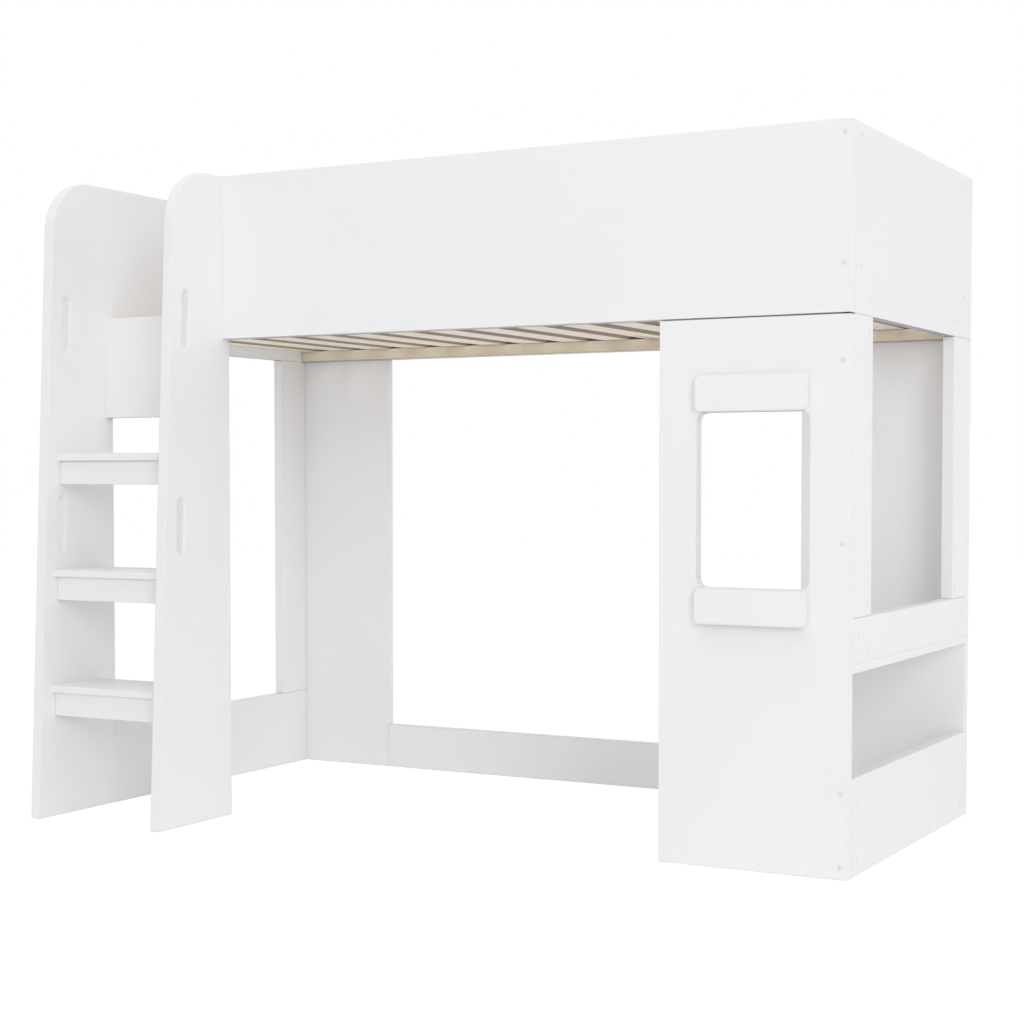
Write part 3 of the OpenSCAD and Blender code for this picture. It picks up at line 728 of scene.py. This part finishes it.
def slot_outline(foot_y, height):
    up = Vector((math.sin(lean_angle), math.cos(lean_angle)))
    across = Vector((math.cos(lean_angle), -math.sin(lean_angle)))
    centre = Vector((foot_y + lean * height + slot_back, height))
    corners = [centre + across * a * slot_wide / 2 + up * b * slot_long / 2
               for a, b in ((-1, -1), (1, -1), (1, 1), (-1, 1))]
    return as_hole(rounded_outline(corners, [slot_wide / 2 - slot_end_flat] * 4))


for node_name in ("left_stair_panel", "right_stair_panel"):
    low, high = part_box(node_name)
    corners = [(low.y, low.z), (high.y, low.z), (high.y, high.z), (low.y + lean * high.z, high.z)]
    outline = rounded_outline(corners, [stair_corner] * 3 + [shoulder])
    if node_name == "left_stair_panel":
        # The rear edge is crisper, with no edge wear or painted shade.
        outline = [(point, out, 1.0 - rear_crispness * max(0.0, out.x) ** 2,
                    0.0 if out.x > 0.5 else rub_shade) for point, out, _, rub_shade in outline]
        bores = [(-1, place, cam_bore, cam_recess)
                 for place in cams_in(node_name, left_cam_places)]
    else:
        stair_screw_x = low.x
        stair_screw_places = [(high.y - stair_screw_inset, z) for z in guard_heights]
        bores = [(-1, place, screw_bore, screw_recess) for place in stair_screw_places]
    loops = [outline] + [slot_outline(low.y, h) for h in slot_heights]
    panel = cut_board(node_name + "_board", "x", low.x, high.x, loops,
                      [stair_rim] + [slot_rim] * 2, bores)
    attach(panel, "root")
    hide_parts(node_name)
    lacquer(panel, level_lacquer)

# Treads, stiffeners and entry board: thin boards let in between the panels,
# the treads with a rounder front edge for bare feet.
tread_rim = 4 * mm
tread_cam_front = 60 * mm
tread_cam_back = 40 * mm
stiffener_rim = 1.5 * mm
entry_cam_rises = (52 * mm, 162 * mm)
tread_cam_places = {}
for node_name in ("lower_tread", "middle_tread", "upper_tread"):
    low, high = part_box(node_name)
    places = [(x, y) for x in (low.x + cam_reach, high.x - cam_reach)
              for y in (low.y + tread_cam_front, high.y - tread_cam_back)]
    tread_cam_places[low.z] = places
    lacquer(plank(node_name + "_board", node_name, "z",
                  [(-1, place, cam_bore, cam_recess) for place in places],
                  rim=tread_rim, butted=True), level_lacquer)
# The stiffeners carry a stronger painted shade in their corners: the shadow under the tread
# noses.
joint_shade_lacquer = lacquer_material("white_lacquer_joint_shade", joints=(6 * mm, 0.48))
for node_name in ("lower_stiffener", "middle_stiffener", "upper_stiffener"):
    lacquer(plank(node_name + "_board", node_name, "y", rim=stiffener_rim, butted=True),
            joint_shade_lacquer)
entry_low, entry_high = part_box("entry_board")
entry_cam_places = [(x, entry_low.z + rise)
                    for x in (entry_low.x + cam_reach, entry_high.x - cam_reach)
                    for rise in entry_cam_rises]
# The entry board carries the dark brown painted shade where the slats meet it.
lacquer(plank("entry_board_board", "entry_board", "y",
              [(1, place, cam_bore, cam_recess) for place in entry_cam_places], butted=True),
        slat_shaded_lacquer)

# Ledgers: two planed pine battens, dowelled and glued along the inner faces of
# the guards. The planed faces are pale, and the saw-cut sides darker, partly their own tone and
# partly painted shade.
grain_bump = 0.6 * mm
slat_pale = (0.93, 0.86, 0.75, 1.0)
slat_dark = (0.80, 0.68, 0.52, 1.0)
ledger_pale = (0.81, 0.73, 0.60, 1.0)
ledger_dark = (0.70, 0.575, 0.42, 1.0)
pine_knot = (0.34, 0.20, 0.10, 1.0)
# Saw-cut sides: their own darker tone and painted shade together.
pine_sawn_shade = (0.36, 0.30, 0.24, 1.0)
# Painted shade in pine corners, such as behind the slat ends.
pine_corner_shade = (0.13, 0.075, 0.04, 1.0)


def pine_grain_group():
    """Planed pine: stretched growth rings, fine pores and a few knots."""
    group, entry, result = effect_group(
        "pine_grain", {"Vector": "Vector"}, ["Rings", "Pores", "Knots"])
    vector = entry.outputs["Vector"]
    bands = group.nodes.new("ShaderNodeMath")
    bands.operation = "MULTIPLY"
    bands.inputs[1].default_value = 55.0
    group.links.new(noise_at(group, vector, 14.0, 3.0, 0.5), bands.inputs[0])
    swing = group.nodes.new("ShaderNodeMath")
    swing.operation = "SINE"
    group.links.new(bands.outputs[0], swing.inputs[0])
    group.links.new(spread(group, swing.outputs[0], -1.0, 1.0, 0.0, 1.0), result.inputs["Rings"])
    pores = noise_at(group, vector, 220.0, 3.0, 0.7)
    group.links.new(spread(group, pores, 0.35, 0.70, 0.0, 1.0), result.inputs["Pores"])
    spots = group.nodes.new("ShaderNodeTexVoronoi")
    spots.inputs["Scale"].default_value = 5.0
    group.links.new(vector, spots.inputs["Vector"])
    group.links.new(spread(group, spots.outputs["Distance"], 0.03, 0.09, 1.0, 0.0),
                    result.inputs["Knots"])
    return group


def shaded_sawn_sides_group():
    """The two saw-cut sides of a batten or slat, across one direction, darkened partly as their
    own tone and partly as painted shade: a mask from 0 to 1.
    """
    group, entry, result = effect_group(
        "shaded_sawn_sides", {"Normal": "Vector", "Side": "Vector"}, ["Mask"])
    facing = group.nodes.new("ShaderNodeVectorMath")
    facing.operation = "DOT_PRODUCT"
    group.links.new(entry.outputs["Normal"], facing.inputs[0])
    group.links.new(entry.outputs["Side"], facing.inputs[1])
    both_sides = group.nodes.new("ShaderNodeMath")
    both_sides.operation = "ABSOLUTE"
    group.links.new(facing.outputs["Value"], both_sides.inputs[0])
    group.links.new(spread(group, both_sides.outputs[0], 0.6, 0.9, 0.0, 1.0),
                    result.inputs["Mask"])
    return group


pine_grain = pine_grain_group()
shaded_sawn_sides = shaded_sawn_sides_group()


def pine_material(name, stretch, shaded_sawn_side, pale, dark):
    """Planed pine with its grain along one axis, two saw-cut sides darkened partly as painted
    shade, and painted shade in its corners.
    """
    look = bpy.data.materials.new(name)
    look.use_nodes = True
    tree = look.node_tree
    wood = tree.nodes["Principled BSDF"]
    spot = tree.nodes.new("ShaderNodeTexCoord")
    along = tree.nodes.new("ShaderNodeMapping")
    along.inputs["Scale"].default_value = stretch
    tree.links.new(spot.outputs["Object"], along.inputs["Vector"])
    grain = effect(tree, pine_grain, {"Vector": along.outputs[0]})
    rings = spread(tree, grain["Rings"], 0.0, 1.0, 0.0, 0.45)
    colour = blend_colours(tree, rings, pale, dark)
    pores = spread(tree, grain["Pores"], 0.0, 1.0, 0.0, 0.15)
    colour = blend_colours(tree, pores, colour, dark)
    colour = blend_colours(tree, grain["Knots"], colour, pine_knot)
    sawn_shade = effect(tree, shaded_sawn_sides, {"Normal": spot.outputs["Normal"], "Side": shaded_sawn_side})
    colour = blend_colours(tree, sawn_shade["Mask"], colour, pine_sawn_shade)
    colour = blend_colours(tree, corner_shade_mask(tree, 10 * mm, 0.35), colour, pine_corner_shade)
    tree.links.new(colour, wood.inputs["Base Color"])
    tree.links.new(spread(tree, grain["Rings"], 0.0, 1.0, 0.62, 0.52), wood.inputs["Roughness"])
    bump = tree.nodes.new("ShaderNodeBump")
    bump.inputs["Strength"].default_value = 0.25
    bump.inputs["Distance"].default_value = grain_bump
    tree.links.new(grain["Pores"], bump.inputs["Height"])
    tree.links.new(bump.outputs["Normal"], wood.inputs["Normal"])
    return look


ledger_rim = 1.2 * mm
ledger_corner = 1.4 * mm
pine_along_x = pine_material(
    "pine_along_x", (0.12, 1.0, 1.0), (0.0, 0.0, 1.0), ledger_pale, ledger_dark)
for node_name in ("front_ledger", "rear_ledger"):
    ledger = plank(node_name + "_batten", node_name, "y", rim=ledger_rim, corner=ledger_corner)
    ledger.data.materials.append(pine_along_x)

# Slats: planed pine boards laid across the ledgers and screwed down at both
# ends; the one at the left end is ripped narrower to fit.
slat_rim = 1.5 * mm
slat_corner = 1.7 * mm
slat_count = 15
slat_wide = 76 * mm
slat_pitch = 132.3 * mm
pine_along_y = pine_material(
    "pine_along_y", (1.0, 0.12, 1.0), (1.0, 0.0, 0.0), slat_pale, slat_dark)
slat_pieces = []
for i in range(slat_count):
    right = slats_high.x - i * slat_pitch
    outline = plank_outline(right - slat_wide, slats_low.y, right, slats_high.y, slat_corner)
    slat = cut_board("bed_slat_%02d" % (i + 1), "z", slats_low.z, slats_high.z,
                     [outline], [slat_rim])
    slat.data.materials.append(pine_along_y)
    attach(slat, "root")
    slat_pieces.append(slat)
for slat in slat_pieces:
    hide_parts("bed_slats")
end_slat = plank("end_slat_board", "end_slat", "z", rim=slat_rim, corner=slat_corner)
end_slat.data.materials.append(pine_along_y)

# Cams: die-cast zinc drums with a driver slot, painted white, pressed into
# blind bores in the faces of the boards.
cam_radius = 7.5 * mm
cam_tall = 12.2 * mm
fitting_sink = 0.15 * mm
ring_points = 24
socket_flare = 1.15
socket_bevel = 0.2 * mm
slot_share = 0.09
speck_bump = 0.2 * mm


def fine_specks_group():
    """The fine specks of metal and turned wood: a share of colour, and the noise as a height."""
    group, entry, result = effect_group("fine_specks", {"Vector": "Vector"}, ["Share", "Speck"])
    speck = noise_at(group, entry.outputs["Vector"], 900.0, 3.0, 0.6)
    group.links.new(spread(group, speck, 0.40, 0.75, 0.0, 1.0), result.inputs["Share"])
    group.links.new(speck, result.inputs["Speck"])
    return group


fine_specks = fine_specks_group()


def fitting_material(name, colour, worn, rough, metal, socket_shade):
    """Small metal and wooden fittings: fine specks, and painted shade in their driver sockets."""
    look = bpy.data.materials.new(name)
    look.use_nodes = True
    tree = look.node_tree
    paint = tree.nodes["Principled BSDF"]
    paint.inputs["Metallic"].default_value = metal
    spot = tree.nodes.new("ShaderNodeTexCoord")
    specks = effect(tree, fine_specks, {"Vector": spot.outputs["Object"]})
    mixed = blend_colours(tree, specks["Share"], colour, worn)
    mixed = blend_colours(tree, corner_shade_mask(tree, 3 * mm, socket_shade), mixed, lacquer_corner_shade)
    tree.links.new(mixed, paint.inputs["Base Color"])
    tree.links.new(spread(tree, specks["Speck"], 0.3, 0.7, rough, rough + 0.12),
                   paint.inputs["Roughness"])
    bump = tree.nodes.new("ShaderNodeBump")
    bump.inputs["Strength"].default_value = 0.2
    bump.inputs["Distance"].default_value = speck_bump
    tree.links.new(specks["Speck"], bump.inputs["Height"])
    tree.links.new(bump.outputs["Normal"], paint.inputs["Normal"])
    return look


white_zinc = fitting_material(
    "white_zinc", (0.915, 0.915, 0.925, 1.0), (0.87, 0.87, 0.875, 1.0), 0.40, 0.0, 0.6)


def socket_point(kind, size, angle):
    """Outline of a driver socket at an angle: a hexagon or a straight slot."""
    c, s = math.cos(angle), math.sin(angle)
    if kind == "hex":
        local = angle % (math.pi / 3) - math.pi / 6
        r = size / 2 / math.cos(local)
        return r * c, r * s
    r = min(size / 2 / max(abs(c), 1e-6), size * slot_share / max(abs(s), 1e-6))
    return r * c, r * s


def fitting(shape, axis, place, w, side, profile, socket):
    """A turned fitting seen end on: its outline from the tip up, then its socket."""
    kind, size, deep = socket
    angles = [2 * math.pi * k / ring_points for k in range(ring_points)]
    rings = [[(r * math.cos(a), r * math.sin(a), h) for a in angles] for r, h in profile]
    for share, h in ((socket_flare, 0.0), (1.0, -socket_bevel), (1.0, -deep), (0.5, -deep)):
        ring = []
        for a in angles:
            u, v = socket_point(kind, size, a)
            ring.append((u * share, v * share, h))
        rings.append(ring)
    rows = [[shape.verts.new(place_point(axis, place[0] + u, place[1] + v, w + side * h))
             for u, v, h in ring] for ring in rings]
    for lower, upper in zip(rows, rows[1:]):
        for k in range(ring_points):
            j = (k + 1) % ring_points
            shape.faces.new((lower[k], lower[j], upper[j], upper[k]))
    shape.faces.new(rows[0])
    shape.faces.new(rows[-1])


def fitting_group(name, fittings, node, look):
    """Like fittings in one mesh. Each is (axis, place, height of the face, side, outline,
    socket), and its head lies a little below the face."""
    shape = bmesh.new()
    for axis, place, w, side, profile, socket in fittings:
        fitting(shape, axis, place, w - side * fitting_sink, side, profile, socket)
    bmesh.ops.recalc_face_normals(shape, faces=shape.faces)
    mesh = bpy.data.meshes.new(name)
    shape.to_mesh(mesh)
    shape.free()
    group = bpy.data.objects.new(name, mesh)
    bpy.context.collection.objects.link(group)
    mesh.materials.append(look)
    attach(group, "root")
    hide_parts(node)


cam_profile = [(cam_radius - 0.6 * mm, -cam_tall), (cam_radius, -cam_tall + 0.6 * mm),
               (cam_radius, -0.5 * mm), (cam_radius - 0.2 * mm, -0.1 * mm),
               (cam_radius - 0.7 * mm, 0.0), (cam_radius - 2.2 * mm, 0.0)]
cam_slot = ("slot", 8.0 * mm, 1.6 * mm)


def cams(axis, places, w, side):
    return [(axis, place, w, side, cam_profile, cam_slot) for place in places]


fitting_group("right_end_cam_drums", cams("x", right_cam_places, end_face_x, 1),
              "right_end_cams", white_zinc)
fitting_group(
    "frame_cam_drums",
    cams("x", left_cam_places, left_face_x, -1) + cams("y", rear_cam_places, rear_face_y, 1)
    + cams("z", shelf_cam_places, shelf_low.z, -1),
    "frame_cams", white_zinc)
tread_cams = [one for z, places in tread_cam_places.items() for one in cams("z", places, z, -1)]
fitting_group("stair_cam_drums", tread_cams + cams("y", entry_cam_places, entry_high.y, 1),
              "stair_cams", white_zinc)

# Frame screws: white headed steel screws with a hex socket, sunk flush into the
# front, rear and stair boards along the corners of the bed.
head_radius = 6.0 * mm
head_tall = 4.0 * mm
shaft_radius = 3.5 * mm
screw_long = 69.5 * mm
screw_profile = [
    (0.8 * mm, -screw_long), (shaft_radius - 0.4 * mm, -screw_long + 6 * mm),
    (shaft_radius, -screw_long + 9 * mm), (shaft_radius, -head_tall),
    (head_radius - 0.3 * mm, -head_tall), (head_radius, -head_tall + 0.3 * mm),
    (head_radius, -0.5 * mm), (head_radius - 0.2 * mm, -0.1 * mm), (head_radius - 0.7 * mm, 0.0)]
hex_socket = ("hex", 4.0 * mm, 1.8 * mm)


def screws(axis, places, w, side):
    return [(axis, place, w, side, screw_profile, hex_socket) for place in places]


front_screw_places = [(end_face_x - screw_inset, h) for h in leg_heights + guard_heights]
fitting_group(
    "frame_screw_set",
    screws("y", front_screw_places, front_face_y, -1)
    + screws("y", rear_screw_places, rear_face_y, 1)
    + screws("x", stair_screw_places, stair_screw_x, -1),
    "frame_screws", white_zinc)

# Hidden fittings: cam dowels, slat screws and trim screws of plated steel, and
# the beech dowels of the stiffeners and ledgers keep the shapes of the frame.
plated_steel = fitting_material(
    "plated_steel", (0.60, 0.61, 0.62, 1.0), (0.42, 0.42, 0.42, 1.0), 0.30, 1.0, 0.2)
turned_beech = fitting_material(
    "turned_beech", (0.56, 0.38, 0.20, 1.0), (0.44, 0.28, 0.13, 1.0), 0.60, 0.0, 0.2)
for node_name, look in (
        ("cam_dowels", plated_steel), ("cam_links", plated_steel),
        ("slat_screws", plated_steel), ("trim_screws", plated_steel),
        ("stiffener_dowels", turned_beech), ("ledger_dowels", turned_beech)):
    node_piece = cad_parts[node_name]
    node_piece.data.materials.clear()
    node_piece.data.materials.append(look)
